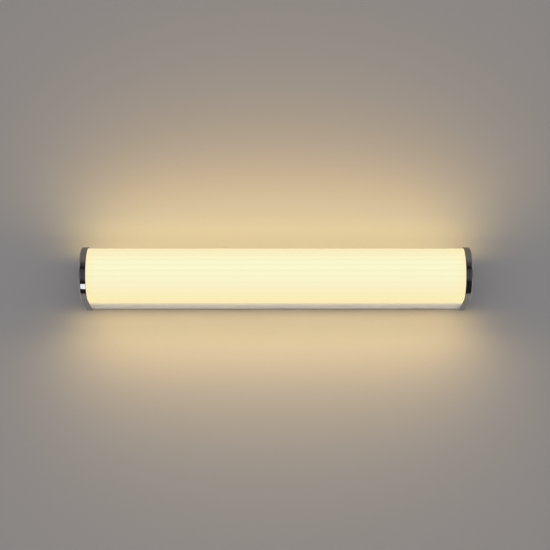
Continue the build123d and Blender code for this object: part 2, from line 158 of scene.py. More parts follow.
CLOUDS = 18.0  # per metre
CLOUD_SHADE = 0.02
OPAL_BODY = (0.16, 0.155, 0.14, 1)

# Light that spills from the diffuser's rear edges on the tray's sides
SPILL_END = 15.0 * MM  # depth where it has faded out
SPILL_FACE = (0.6 * MM, 0.2 * MM)  # distance inside the outer faces where it starts, and where it is full
SPILL = (0.22, 0.18, 0.09)

# Other finishes
END_FACE = (0.9, 0.995)  # sideways part of the normal where a cap's end face starts, and where it is flat
FACE_SWELL = 1.6  # turn of a cap's end face per metre from its middle, as moulded and plated faces have
SPANGLES = 190.0  # per metre
SPANGLE_SHARE = 0.5
FOAM_CELLS = 1300.0  # per metre
FOAM_CELL_DEPTH = 0.3 * MM
CHIP_LIGHT = (1.0, 0.86, 0.5, 1)

# Finishes that follow their grain alone, by material slot
GRAINED_FINISHES = {
    "zinc_screw": dict(
        name="zinc_bright", dark=(0.5, 0.51, 0.53), light=(0.74, 0.75, 0.77), rough=(0.22, 0.4),
        metallic=1.0, grains=2500.0, patches=300.0, bump=0.05, dust=0.2,
    ),
    "black_rubber": dict(
        name="rubber_black", dark=(0.012, 0.012, 0.012), light=(0.035, 0.035, 0.036), rough=(0.6, 0.8),
        grains=2000.0, patches=120.0, bump=0.15,
    ),
    "grey_silicone": dict(
        name="silicone_grey", dark=(0.38, 0.38, 0.37), light=(0.5, 0.5, 0.49), rough=(0.5, 0.7),
        grains=1500.0,
    ),
    "board_white": dict(
        name="solder_mask_white", dark=(0.82, 0.82, 0.8), light=(0.9, 0.9, 0.88), rough=(0.3, 0.42),
        grains=1500.0,
    ),
    "white_nylon": dict(
        name="nylon_white", dark=(0.78, 0.76, 0.68), light=(0.88, 0.87, 0.82), rough=(0.35, 0.5),
        grains=2200.0, patches=90.0, bump=0.08,
    ),
    "driver_plastic": dict(
        name="driver_shell", dark=(0.7, 0.7, 0.68), light=(0.8, 0.8, 0.78), rough=(0.5, 0.68),
        grains=3000.0, patches=50.0, bump=0.3,
    ),
    "terminal_brass": dict(
        name="brass_plain", dark=(0.56, 0.4, 0.14), light=(0.8, 0.62, 0.28), rough=(0.2, 0.4),
        metallic=1.0, grains=1800.0, patches=200.0, bump=0.05,
    ),
}
INSULATION_TONES = {
    "red_insulation": ((0.42, 0.015, 0.015), (0.6, 0.03, 0.025)),
    "black_insulation": ((0.01, 0.01, 0.01), (0.03, 0.03, 0.03)),
    "brown_insulation": ((0.11, 0.04, 0.015), (0.2, 0.08, 0.035)),
    "blue_insulation": ((0.015, 0.07, 0.34), (0.03, 0.13, 0.52)),
}

# Stage
WALL_GAP = 0.2 * MM
STAGE_HALF = 3.0
WINDOW_INSET_X = 2.4 * MM  # from the foam sheet's edges to the wall's window behind it
WINDOW_INSET_Z = 1.5 * MM
WINDOW = (foam_high.x - WINDOW_INSET_X, foam_high.z - WINDOW_INSET_Z)  # half sizes
FLOOR_LEVEL = -1.1
WALL_TONES = ((0.775, 0.745, 0.725), (0.795, 0.765, 0.745))
WALL_GRAINS = 300.0
FLOOR_TONES = ((0.74, 0.73, 0.71), (0.77, 0.76, 0.74))
FLOOR_GRAINS = 200.0

# Strips of glow on the diffuser: beside the tray, and on the round front at two turns from straight ahead
GLOW_SIZE = (424 * MM, 10 * MM)
GLOW_GAP = 1.5 * MM
GLOW_RADIUS = HALF_HEIGHT + GLOW_GAP
NEAR_DEPTH = 30 * MM
NEAR_TILT = math.radians(14)  # towards the wall
FRONT_TURN = math.radians(66)
WIDE_TURN = math.radians(45)
ABOVE = 1
BELOW = -1

# The other lights
BACK_SOFTBOX = dict(
    place=(-0.7, 1.3, 0.9), aim=(0.7, -1.3, -0.9), size=(1.0, 0.8), watts=14.0, colour=(1.0, 0.98, 0.95),
)
UNDERSIDE_FILL = dict(
    place=(0, -14 * MM, -0.3), aim=UP, size=(0.39, 18 * MM), watts=0.0075, colour=(1.0, 0.93, 0.9),
)
UNDERSIDE_BEAM = math.radians(6)
LEFT_SOFTBOX = dict(
    place=(-0.285, -0.371, -0.756), aim=(0.11, 0.41, 0.91), size=(0.12, 0.33), watts=0.133,
    colour=(1.0, 1.0, 1.0),
)
AMBIENT = (0.305, 0.31, 0.328, 1)

# What polished faces see of the room, by the ray's turn up or down from straight ahead, in degrees
ROOM_BANDS = [
    (-180, (0.20, 0.18, 0.155)),
    (-150, (0.19, 0.175, 0.155)),
    (-122, (0.235, 0.222, 0.185)),
    (-106, (0.18, 0.17, 0.15)),
    (-99, (0.015, 0.013, 0.012)),
    (-43, (0.015, 0.014, 0.013)),
    (-38, (0.048, 0.047, 0.048)),
    (-25, (0.068, 0.067, 0.068)),
    (4, (0.052, 0.051, 0.05)),
    (12, (0.01, 0.009, 0.008)),
    (31, (0.062, 0.055, 0.048)),
    (52, (0.155, 0.135, 0.118)),
    (105, (0.165, 0.138, 0.113)),
    (140, (0.2, 0.16, 0.12)),
    (180, (0.2, 0.18, 0.155)),
]

# The same for rays that leave to the side, by the ray's rise: a dim stretch of the room, and the lit rest
SIDE_DIM_BANDS = [
    (-1.0, (0.12, 0.12, 0.12)),
    (-0.65, (0.13, 0.13, 0.13)),
    (-0.5, (0.24, 0.24, 0.24)),
    (-0.4, (0.2, 0.2, 0.2)),
    (-0.3, (0.065, 0.065, 0.067)),
    (0.0, (0.065, 0.065, 0.067)),
    (0.12, (0.15, 0.15, 0.15)),
    (0.28, (0.16, 0.16, 0.16)),
    (0.42, (0.22, 0.22, 0.22)),
    (0.55, (0.14, 0.135, 0.13)),
    (1.0, (0.13, 0.125, 0.12)),
]
SIDE_LIT_BANDS = [
    (-1.0, (0.17, 0.17, 0.17)),
    (-0.65, (0.24, 0.24, 0.24)),
    (-0.42, (0.26, 0.26, 0.26)),
    (-0.2, (0.42, 0.415, 0.41)),
    (-0.08, (0.5, 0.495, 0.49)),
    (0.03, (0.1, 0.1, 0.102)),
    (0.19, (0.1, 0.1, 0.102)),
    (0.27, (0.36, 0.36, 0.365)),
    (0.4, (0.3, 0.3, 0.3)),
    (0.5, (0.15, 0.145, 0.14)),
    (1.0, (0.14, 0.135, 0.13)),
]

# Where these views take over, as parts of the ray's direction: start and full
SIDE_ACROSS = (0.5, 0.72)
REAR_SIDE_ACROSS = (0.18, 0.45)  # for rays that go back to the wall
REAR_SIDE_BACK = (0.2, 0.55)
LIT_BACK = (-0.2, 0.1)  # beside the wall
LIT_AHEAD = (0.6, 0.74)  # beside the front

# Camera, fitted to the photographed rows of caps, ribs and tray
IMAGE_SIDE = 550
FOCAL_PIXELS = 1416.8
SENSOR = 36.0
CLIP_START = 0.01
CAMERA_PLACE = (-0.0008, -1.45, -0.393)
CAMERA_PITCH = math.radians(15.56)


# Node trees


class Value:
    """Value that a node tree works out; arithmetic on values adds Math nodes to the tree."""

    def __init__(self, tree, socket):
        self.tree = tree
        self.socket = socket

    def __add__(self, other):
        return calc(self.tree, "ADD", self, other)

    def __sub__(self, other):
        return calc(self.tree, "SUBTRACT", self, other)

    def __rsub__(self, other):
        return calc(self.tree, "SUBTRACT", other, self)

    def __mul__(self, other):
        return calc(self.tree, "MULTIPLY", self, other)

    def __truediv__(self, other):
        return calc(self.tree, "DIVIDE", self, other)

    def __neg__(self):
        return calc(self.tree, "MULTIPLY", self, -1.0)

    def __abs__(self):
        return calc(self.tree, "ABSOLUTE", self)


def feed(tree, socket, given):
    """Links a value or another node's output to socket, and sets anything else as a constant."""
    if isinstance(given, Value):
        given = given.socket
    if isinstance(given, bpy.types.NodeSocket):
        tree.links.new(given, socket)
    else:
        socket.default_value = given


def set_inputs(tree, node, inputs):
    """Feeds a node's inputs, given as socket names or numbers with their values."""
    for key, value in inputs.items():
        feed(tree, node.inputs[key], value)


def put(tree, kind, inputs=None, **settings):
    """Adds a node with its settings and inputs."""
    made = tree.nodes.new(kind)
    for name, value in settings.items():
        setattr(made, name, value)
    set_inputs(tree, made, inputs or {})
    return made


def calc(tree, operation, *values):
    """Value that one Math node works out."""
    made = put(tree, "ShaderNodeMath", dict(enumerate(values)), operation=operation)
    return Value(tree, made.outputs[0])


def split(tree, vector):
    """X, Y and Z of a vector."""
    made = put(tree, "ShaderNodeSeparateXYZ", {0: vector})
    return [Value(tree, output) for output in made.outputs]


def combine(tree, x=0.0, y=0.0, z=0.0):
    """Vector from its parts."""
    return put(tree, "ShaderNodeCombineXYZ", {0: x, 1: y, 2: z}).outputs[0]


def spread(tree, share, low, high):
    """Value between low and high, by a share from 0 to 1."""
    return Value(tree, put(tree, "ShaderNodeMapRange", {0: share, 3: low, 4: high}).outputs[0])


def even_step(tree, value, low, high, **settings):
    """Even step from 0 at low to 1 at high."""
    return Value(tree, put(tree, "ShaderNodeMapRange", {0: value, 1: low, 2: high}, **settings).outputs[0])


def smooth_step(tree, value, low, high):
    """Soft step from 0 at low to 1 at high."""
    return even_step(tree, value, low, high, interpolation_type="SMOOTHSTEP")


def two_tones(tree, share, dark, light):
    """Colour between dark and light."""
    mixed = put(tree, "ShaderNodeMix", data_type="RGBA")
    set_inputs(tree, mixed, {
        "Factor": share,
        "A": (*dark, 1) if isinstance(dark, tuple) else dark,
        "B": (*light, 1) if isinstance(light, tuple) else light,
    })
    return mixed.outputs["Result"]


def ramp(tree, share, stops):
    """Colour by a share from 0 to 1, with stops as (share, colour) in order."""
    made = put(tree, "ShaderNodeValToRGB", {"Fac": share})
    elements = made.color_ramp.elements
    elements[0].position = stops[0][0]
    elements[1].position = stops[-1][0]
    for place, _ in stops[1:-1]:
        elements.new(place)
    for element, (_, colour) in zip(elements, stops):
        element.color = (*colour, 1)
    return made.outputs["Color"]


def banded(tree, value, stops):
    """Colour by a value, with stops as (value, colour) in order."""
    low = stops[0][0]
    high = stops[-1][0]
    share = even_step(tree, value, low, high)
    return ramp(tree, share, [((at - low) / (high - low), colour) for at, colour in stops])


def group_tree(kind, name, inputs, outputs):
    """New node group, with sockets given as type to names; returns it and its inputs by name."""
    tree = bpy.data.node_groups.new(name, kind)
    for direction, sockets in (("INPUT", inputs), ("OUTPUT", outputs)):
        for socket_type, labels in sockets.items():
            for label in labels:
                tree.interface.new_socket(label, in_out=direction, socket_type="NodeSocket" + socket_type)
    given = tree.nodes.new("NodeGroupInput")
    return tree, {socket.name: Value(tree, socket) for socket in given.outputs}


# Shared effects of the finishes


def object_place(tree):
    """Place on the object."""
    return tree.nodes.new("ShaderNodeTexCoord").outputs["Object"]


def face_normal(tree):
    """Outward direction of the face."""
    return tree.nodes.new("ShaderNodeNewGeometry").outputs["Normal"]


def noise(tree, scale, detail):
    """Cloudy level between 0 and 1, with scale as clouds per metre."""
    made = put(tree, "ShaderNodeTexNoise", {"Vector": object_place(tree), "Scale": scale, "Detail": detail})
    return Value(tree, made.outputs["Fac"])


def build_grain():
    """Fine grain: a tone between 0 and 1 and a height, from noise of two sizes."""
    tree, given = group_tree(
        "ShaderNodeTree", "fine_grain",
        {"Float": ("Grains per metre", "Patches per metre")},
        {"Float": ("Tone", "Height")},
    )
    grain = noise(tree, given["Grains per metre"], detail=3.0)
    patch = noise(tree, given["Patches per metre"], detail=4.0)
    tone = grain * GRAIN_SHARE + patch * (1 - GRAIN_SHARE)
    put(tree, "NodeGroupOutput", {"Tone": tone, "Height": grain})
    return tree


def build_dust():
    """Thin dust: a mask that is 0 on clean faces and grows on faces that look up."""
    tree, given = group_tree("ShaderNodeTree", "settled_dust", {"Float": ("Amount",)}, {"Float": ("Mask",)})
    upward = split(tree, face_normal(tree))[2]
    flat = smooth_step(tree, upward, *DUST_FLATNESS)
    veil = even_step(tree, noise(tree, DUST_SPECKS, detail=5.0), *DUST_VEIL)
    put(tree, "NodeGroupOutput", {"Mask": flat * veil * given["Amount"]})
    return tree


grain_group = build_grain()
dust_group = build_dust()


def fine_grain(tree, grains, patches):
    """Tone and height of the fine grain."""
    made = put(tree, "ShaderNodeGroup", node_tree=grain_group)
    set_inputs(tree, made, {"Grains per metre": grains, "Patches per metre": patches})
    return Value(tree, made.outputs["Tone"]), made.outputs["Height"]


def settled_dust(tree, amount):
    """Mask of the dust."""
    made = put(tree, "ShaderNodeGroup", node_tree=dust_group)
    set_inputs(tree, made, {"Amount": amount})
    return Value(tree, made.outputs["Mask"])


def new_finish(name):
    """Material with a plain Principled shader."""
    finish = bpy.data.materials.new(name)
    finish.use_nodes = True
    return finish


def shader_of(finish):
    """Node tree and Principled shader of a finish."""
    return finish.node_tree, finish.node_tree.nodes["Principled BSDF"]


def rough_bump(tree, shader, height, strength, distance):
    """Feeds height through a Bump node into the shader's normal."""
    bump = put(tree, "ShaderNodeBump", {"Height": height, "Strength": strength, "Distance": distance})
    set_inputs(tree, shader, {"Normal": bump.outputs[0]})


def grained(name, dark, light, rough, metallic=0.0, grains=900.0, patches=30.0, bump=0.1, dust=0.0):
    """Finish whose tone and roughness follow the fine grain, with a shallow bump and dust on top faces."""
    finish = new_finish(name)
    tree, shader = shader_of(finish)
    tone, height = fine_grain(tree, grains, patches)
    colour = two_tones(tree, tone, dark, light)
    roughness = spread(tree, tone, *rough)
    if dust:
        mask = settled_dust(tree, dust)
        colour = two_tones(tree, mask, colour, DUST_TONE)
        roughness = roughness + mask * DUST_ROUGHNESS
    set_inputs(tree, shader, {"Base Color": colour, "Roughness": roughness, "Metallic": metallic})
    rough_bump(tree, shader, height, bump, GRAIN_HEIGHT)
    return finish


# Finishes


def d_line_share(tree, place):
    """Share of the outer D line that lies below a place, from 0 at its lower edge to 1 at its upper edge."""
    _, back, height = place
    ahead = -back - FLAT_END
    angle = calc(tree, "ARCTAN2", height, calc(tree, "MAXIMUM", ahead, LEAST_AHEAD))
    along_flat = calc(tree, "MAXIMUM", -ahead, 0.0)
    arc = angle * HALF_HEIGHT + along_flat * calc(tree, "SIGN", height)
    return arc / (2 * ARC_HALF) + 0.5


def opal_finish():
    """Lit opal acrylic: brightest in front, warmer to edges and caps, with a thin shade in each valley."""
    finish = new_finish("opal_acrylic_lit")
    tree, shader = shader_of(finish)
    place = split(tree, object_place(tree))
    share = d_line_share(tree, place)
    share_per_turn = math.radians(1) * HALF_HEIGHT / (2 * ARC_HALF)
    front = [(turn * share_per_turn + 0.5, colour) for turn, colour in DIFFUSER_GLOW]
    glow = ramp(tree, share, [(0.0, DIFFUSER_SIDE), *front, (1.0, DIFFUSER_SIDE)])
    near_cap = smooth_step(tree, abs(place[0]), HALF_LENGTH - CAP_FADE, HALF_LENGTH)
    warmed = two_tones(tree, near_cap * CAP_WARMTH, glow, CAP_TONE)
    off_crest = abs(calc(tree, "FRACT", share * FLUTES) - 0.5)
    valley = smooth_step(tree, off_crest, VALLEY_START, VALLEY_END)
    valley_shade = VALLEY_SHADE - abs(share - DARKEST_SHARE) * VALLEY_FADE
    shade = valley * valley_shade + noise(tree, CLOUDS, detail=2.0) * CLOUD_SHADE
    tone, height = fine_grain(tree, grains=2600.0, patches=40.0)
    set_inputs(tree, shader, {
        "Emission Color": two_tones(tree, shade, warmed, BLACK),
        "Emission Strength": 1.0,
        "Base Color": OPAL_BODY,
        "Roughness": spread(tree, tone, low=0.28, high=0.4),
    })
    rough_bump(tree, shader, height, strength=0.03, distance=FINE_HEIGHT)
    return finish


def tray_finish():
    """White powder coat, with the diffuser's spill along the front edges of its sides."""
    finish = grained("powder_coat_white", dark=(0.76, 0.75, 0.72), light=(0.84, 0.83, 0.8),
                     rough=(0.42, 0.56), grains=1800.0, bump=0.22, dust=0.25)
    tree, shader = shader_of(finish)
    _, back, height = split(tree, object_place(tree))
    near_edge = smooth_step(tree, -back, SPILL_END, TRAY_FRONT)
    outside = smooth_step(tree, abs(height), *(HALF_HEIGHT - inside for inside in SPILL_FACE))
    spilt = two_tones(tree, near_edge * outside, BLACK, SPILL)
    set_inputs(tree, shader, {"Emission Color": spilt, "Emission Strength": 1.0})
    return finish


def chrome_finish():
    """Polished chrome plate: faint polishing haze, a little dust on top and end faces that swell slightly."""
    finish = grained("chrome_polished", dark=(0.74, 0.75, 0.765), light=(0.8, 0.81, 0.82),
                     rough=(0.02, 0.055), metallic=1.0, grains=500.0, patches=60.0, bump=0.006, dust=0.12)
    tree, shader = shader_of(finish)
    _, back, height = split(tree, object_place(tree))
    normal = face_normal(tree)
    sideways = split(tree, normal)[0]
    lean = smooth_step(tree, abs(sideways), *END_FACE) * FACE_SWELL
    swell = combine(tree, y=(back + CAP_DEPTH / 2) * lean, z=height * lean)
    bent = put(tree, "ShaderNodeVectorMath", {0: normal, 1: swell}, operation="ADD")
    evened = put(tree, "ShaderNodeVectorMath", {0: bent.outputs[0]}, operation="NORMALIZE")
    bump = shader.inputs["Normal"].links[0].from_node
    set_inputs(tree, bump, {"Normal": evened.outputs[0]})
    return finish


def zinc_sheet_finish():
    """Zinc-plated sheet: dull spangles that differ in tone."""
    finish = new_finish("zinc_spangled")
    tree, shader = shader_of(finish)
    spangles = put(tree, "ShaderNodeTexVoronoi", {"Vector": object_place(tree), "Scale": SPANGLES})
    spangle_tone = put(tree, "ShaderNodeSeparateColor", {0: spangles.outputs["Color"]}).outputs[0]
    tone, height = fine_grain(tree, grains=1600.0, patches=25.0)
    both = Value(tree, spangle_tone) * SPANGLE_SHARE + tone * (1 - SPANGLE_SHARE)
    set_inputs(tree, shader, {
        "Base Color": two_tones(tree, both, dark=(0.42, 0.44, 0.46), light=(0.68, 0.69, 0.7)),
        "Roughness": spread(tree, both, low=0.55, high=0.32),
        "Metallic": 1.0,
    })
    rough_bump(tree, shader, height, strength=0.08, distance=FINE_HEIGHT)
    return finish


def foam_finish():
    """Closed-cell foam: small round cells pressed into a matt black sheet."""
    finish = new_finish("foam_black")
    tree, shader = shader_of(finish)
    cells = put(tree, "ShaderNodeTexVoronoi", {"Vector": object_place(tree), "Scale": FOAM_CELLS})
    off_middle = cells.outputs["Distance"]
    tone = spread(tree, off_middle, low=0.0, high=1.0)
    set_inputs(tree, shader, {
        "Base Color": two_tones(tree, tone, dark=(0.012, 0.012, 0.013), light=(0.05, 0.05, 0.052)),
        "Roughness": spread(tree, off_middle, low=0.98, high=0.8),
    })
    rough_bump(tree, shader, off_middle, strength=0.5, distance=FOAM_CELL_DEPTH)
    return finish


def chip_finish():
    """Phosphor under clear silicone, lit."""
    finish = grained("chip_phosphor_lit", dark=(0.85, 0.62, 0.12), light=(0.95, 0.8, 0.3), rough=(0.15, 0.3),
                     grains=4000.0)
    tree, shader = shader_of(finish)
    set_inputs(tree, shader, {"Emission Color": CHIP_LIGHT, "Emission Strength": 1.0})
    return finish


def insulation_finish(slot, dark, light):
    """Soft plastic of a lead."""
    return grained(slot + "_pvc", dark, light, rough=(0.3, 0.45), grains=1200.0, patches=150.0, bump=0.05)


finishes = {
    "opal_acrylic": opal_finish(),
    "white_paint": tray_finish(),
    "chrome_plate": chrome_finish(),
    "zinc_sheet": zinc_sheet_finish(),
    "black_foam": foam_finish(),
    "chip_phosphor": chip_finish(),
    **{slot: grained(**look) for slot, look in GRAINED_FINISHES.items()},
    **{slot: insulation_finish(slot, *tones) for slot, tones in INSULATION_TONES.items()},
}
for node_name, node_object in frame["nodes"].items():
    node_object.data.materials.clear()
    node_object.data.materials.append(finishes[slot_of[node_name]])


# Pieces grown by node trees


def modifier_tree(name, inputs):
    """Geometry node tree with inputs beside its geometry, given as socket type to names; returns both."""
    geometry = {"Geometry": ("Geometry",)}
    return group_tree("GeometryNodeTree", name, {**geometry, **inputs}, geometry)


def close_tree(tree, geometry, finish):
    """Ends a tree: instances become mesh and take the finish."""
    real = put(tree, "GeometryNodeRealizeInstances", {"Geometry": geometry})
    painted = put(tree, "GeometryNodeSetMaterial", {"Geometry": real.outputs[0], "Material": finish})
    put(tree, "NodeGroupOutput", {"Geometry": painted.outputs[0]})


def grow(name, base_points, tree, sizes):
    """Runs a tree on an object with base_points as vertices, and returns the result as a plain mesh piece."""
    seed_mesh = bpy.data.meshes.new(name + "_seed")
    seed_mesh.from_pydata([tuple(point) for point in base_points], [], [])
    seed = bpy.data.objects.new(name + "_seed", seed_mesh)
    bpy.context.scene.collection.objects.link(seed)
    grower = seed.modifiers.new(tree.name, "NODES")
    grower.node_group = tree
    for item in tree.interface.items_tree:
        if item.in_out == "INPUT" and item.name in sizes:
            grower[item.identifier] = sizes[item.name]
    bpy.context.view_layer.update()
    grown = bpy.data.meshes.new_from_object(seed.evaluated_get(bpy.context.evaluated_depsgraph_get()))
    grown.name = name
    seed.modifiers.remove(grower)
    bpy.data.objects.remove(seed)
    bpy.data.meshes.remove(seed_mesh)
    piece = bpy.data.objects.new(name, grown)
    bpy.context.scene.collection.objects.link(piece)
    return piece


def dress(piece, body, *nodes):
    """Lets a finished piece ride on its body in place of CAD nodes, which it hides."""
    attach(piece, body)
    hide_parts(*nodes)


def crease_edges(tree, mesh):
    """Smooth mesh whose sharper edges stay sharp."""
    angle = tree.nodes.new("GeometryNodeInputMeshEdgeAngle").outputs[0]
    soft = put(tree, "FunctionNodeCompare", {0: angle, 1: CREASE}, data_type="FLOAT", operation="LESS_THAN")
    shaded = put(tree, "GeometryNodeSetShadeSmooth", {"Geometry": mesh, "Shade Smooth": soft.outputs[0]},
                 domain="EDGE")
    return shaded.outputs[0]


# Diffuser


def d_line(tree, along, radius, flat_end):
    """Depth, height and outward direction of the D line's point that lies along from its front."""
    quarter = radius * (math.pi / 2)
    on_arc = calc(tree, "MINIMUM", calc(tree, "MAXIMUM", along, -quarter), quarter)
    on_flat = abs(along - on_arc)
    turn = on_arc / radius
    out_depth = calc(tree, "COSINE", turn)
    out_height = calc(tree, "SINE", turn)
    return flat_end + radius * out_depth - on_flat, radius * out_height, out_depth, out_height


def section_points(tree, count, depth, height, order):
    """Points of the cross-section, with X towards the wall, each with its place in the outline's order."""
    points = put(tree, "GeometryNodePoints", {"Count": count, "Position": combine(tree, -depth, height)})
    stored = put(tree, "GeometryNodeStoreNamedAttribute",
                 {"Geometry": points.outputs[0], "Name": "outline_order", "Value": order},
                 data_type="FLOAT", domain="POINT")
    return stored.outputs[0]


def outer_points(tree, size, index, count):
    """Fluted outside of the section, from its lower edge over the front to its upper edge."""
    half = size["Half Height"] * (math.pi / 2) + (size["Flat End"] - size["Flat Start"])
    along = (index / (count - 1.0) * 2.0 - 1.0) * half
    depth, height, out_depth, out_height = d_line(tree, along, size["Half Height"], size["Flat End"])
    off_crest = calc(tree, "MODULO", index, size["Steps"]) * 2.0 / size["Steps"] - 1.0
    dip = size["Flute Depth"] * (off_crest * off_crest)
    return section_points(tree, count, depth - dip * out_depth, height - dip * out_height, index)


def inner_points(tree, size, index, count, start):
    """Plain inside of the section, from its upper tongue over the front to its lower tongue."""
    radius = size["Half Height"] - size["Wall"]
    half = radius * (math.pi / 2) + (size["Flat End"] - size["Tongue End"])
    along = (1.0 - index / (count - 1.0) * 2.0) * half
    depth, height, _, _ = d_line(tree, along, radius, size["Flat End"])
    return section_points(tree, count, depth, height, index + start)


def diffuser_outline(tree, size):
    """Closed outline of the section: outside, upper tongue, inside and lower tongue."""
    index = Value(tree, tree.nodes.new("GeometryNodeInputIndex").outputs[0])
    outer_count = size["Flutes"] * size["Steps"] + 1.0
    inner_count = size["Inner Steps"] + 1.0
    tongue_count = 2
    inner_start = outer_count + tongue_count
    tongue_height = size["Half Height"] - size["Wall"] + size["Tongue Wall"]
    tongue_run = index * (size["Tongue End"] - size["Flat Start"])
    upper_depth = size["Flat Start"] + tongue_run
    lower_depth = size["Tongue End"] - tongue_run
    joined = tree.nodes.new("GeometryNodeJoinGeometry")
    for points in (
        outer_points(tree, size, index, outer_count),
        section_points(tree, tongue_count, upper_depth, tongue_height, index + outer_count),
        inner_points(tree, size, index, inner_count, inner_start),
        section_points(tree, tongue_count, lower_depth, -tongue_height, index + (inner_start + inner_count)),
    ):
        tree.links.new(points, joined.inputs[0])
    order = put(tree, "GeometryNodeInputNamedAttribute", {"Name": "outline_order"}, data_type="FLOAT")
    outline = put(tree, "GeometryNodePointsToCurves",
                  {"Points": joined.outputs[0], "Weight": order.outputs["Attribute"]})
    closed = put(tree, "GeometryNodeSetSplineCyclic", {"Geometry": outline.outputs[0], "Cyclic": True})
    return closed.outputs[0]


def diffuser_tree():
    """Fluted D-section profile, hollow and open to the tray, with a tongue along each rear edge."""
    tree, size = modifier_tree("fluted_diffuser", {
        "Float": ("Half Length", "Half Height", "Flat End", "Flat Start", "Tongue End", "Wall", "Tongue Wall",
                  "Flute Depth"),
        "Int": ("Flutes", "Steps", "Inner Steps"),
        "Material": ("Finish",),
    })
    run = put(tree, "GeometryNodeCurvePrimitiveLine", {
        "Start": combine(tree, z=-size["Half Length"]),
        "End": combine(tree, z=size["Half Length"]),
    })
    swept = put(tree, "GeometryNodeCurveToMesh", {
        "Curve": run.outputs[0],
        "Profile Curve": diffuser_outline(tree, size),
        "Fill Caps": True,
    })
    outward = put(tree, "GeometryNodeFlipFaces", {"Mesh": swept.outputs[0]})
    laid = put(tree, "GeometryNodeTransform", {
        "Geometry": crease_edges(tree, outward.outputs[0]),
        "Rotation": (math.pi / 2, 0.0, math.pi / 2),
    })
    close_tree(tree, laid.outputs[0], size["Finish"])
    return tree


diffuser_piece = grow("fluted_diffuser", [(0, 0, 0)], diffuser_tree(), {
    "Half Length": HALF_LENGTH,
    "Half Height": HALF_HEIGHT,
    "Flat End": FLAT_END,
    "Flat Start": TRAY_FRONT,
    "Tongue End": TONGUE_END,
    "Wall": DIFFUSER_WALL,
    "Tongue Wall": TONGUE_WALL,
    "Flutes": FLUTES,
    "Flute Depth": FLUTE_DEPTH,
    "Steps": FLUTE_STEPS,
    "Inner Steps": INNER_STEPS,
    "Finish": finishes["opal_acrylic"],
})
dress(diffuser_piece, "light", "diffuser")


# Screws


def lathed_screw(tree, size):
    """Closed screw, head up and seat at the origin: a grid rolled round Z, with a helical thread."""
    shank_end = TIP_ROWS + SHANK_ROWS
    dome_start = shank_end + HEAD_ROWS
    rows = dome_start + DOME_ROWS
    grid = put(tree, "GeometryNodeMeshGrid",
               {"Size X": 1.0, "Size Y": 1.0, "Vertices X": SCREW_SIDES + 1, "Vertices Y": rows + 1})
    round_share, row_share, _ = split(tree, tree.nodes.new("GeometryNodeInputPosition").outputs[0])
    row = (row_share + 0.5) * rows

    tip_face = even_step(tree, row, 0, 1)
    tip_bevel = even_step(tree, row, 1, TIP_ROWS)
    shank = even_step(tree, row, TIP_ROWS, shank_end)
    under_head = even_step(tree, row, shank_end, shank_end + 1)
    head_side = even_step(tree, row, shank_end + 1, dome_start)
    dome = even_step(tree, row, dome_start, rows) * (math.pi / 2)

    tip = size["Thread Depth"] * TIP_RATIO
    rise = tip * tip_bevel + (size["Shank Length"] - tip) * shank
    winding = calc(tree, "FRACT", rise / size["Thread Pitch"] - round_share)
    groove = abs(winding * 2.0 - 1.0)
    thread_end = shank_end - PLAIN_ROWS
    run_in = even_step(tree, row, TIP_ROWS, TIP_ROWS + THREAD_IN_ROWS)
    run_out = even_step(tree, row, thread_end - THREAD_OUT_ROWS, thread_end)
    thread = groove * (run_in * (1.0 - run_out)) * size["Thread Depth"]

    shank_radius = (size["Radius"] - tip) * tip_face + tip * tip_bevel - thread
    head_step = (size["Head Radius"] - size["Radius"]) * under_head
    radius = shank_radius + head_step - size["Head Radius"] * (1.0 - calc(tree, "COSINE", dome))
    dome_height = (size["Head Height"] - size["Head Edge"]) * calc(tree, "SINE", dome)
    level = rise - size["Shank Length"] + size["Head Edge"] * head_side + dome_height
    angle = round_share * (2 * math.pi)
    place = combine(tree, radius * calc(tree, "COSINE", angle), radius * calc(tree, "SINE", angle), level)
    rolled = put(tree, "GeometryNodeSetPosition", {"Geometry": grid.outputs["Mesh"], "Position": place})
    welded = put(tree, "GeometryNodeMergeByDistance", {"Geometry": rolled.outputs[0], "Distance": WELD})
    return welded.outputs[0]


def cross_recess(tree, size, screw):
    """Cuts a cross into the top of the screw's head."""
    bar_height = size["Recess Depth"] * 2.0
    head_top = combine(tree, z=size["Head Height"])
    cut = put(tree, "GeometryNodeMeshBoolean", {"Mesh 1": screw}, operation="DIFFERENCE", solver="EXACT")
    for length, width in (("Recess Length", "Recess Width"), ("Recess Width", "Recess Length")):
        bar_size = combine(tree, size[length], size[width], bar_height)
        bar = put(tree, "GeometryNodeMeshCube", {"Size": bar_size}).outputs["Mesh"]
        raised = put(tree, "GeometryNodeTransform", {"Geometry": bar, "Translation": head_top})
        tree.links.new(raised.outputs[0], cut.inputs["Mesh 2"])
    return cut.outputs["Mesh"]


def screw_tree():
    """Pan screws on the seed's points, each turned by chance about its own axis."""
    tree, size = modifier_tree("pan_screws", {
        "Float": ("Radius", "Shank Length", "Head Radius", "Head Height", "Head Edge", "Recess Length",
                  "Recess Width", "Recess Depth", "Thread Pitch", "Thread Depth"),
        "Rotation": ("Turn",),
        "Int": ("Seed",),
        "Material": ("Finish",),
    })
    screw = crease_edges(tree, cross_recess(tree, size, lathed_screw(tree, size)))
    stood = put(tree, "GeometryNodeInstanceOnPoints",
                {"Points": size["Geometry"], "Instance": screw, "Rotation": size["Turn"]})
    spin = put(tree, "FunctionNodeRandomValue", {2: 0.0, 3: math.pi / 2, "Seed": size["Seed"]},
               data_type="FLOAT")
    spun = put(tree, "GeometryNodeRotateInstances", {
        "Instances": stood.outputs[0],
        "Rotation": combine(tree, z=spin.outputs[1]),
        "Local Space": True,
    })
    close_tree(tree, spun.outputs[0], size["Finish"])
    return tree


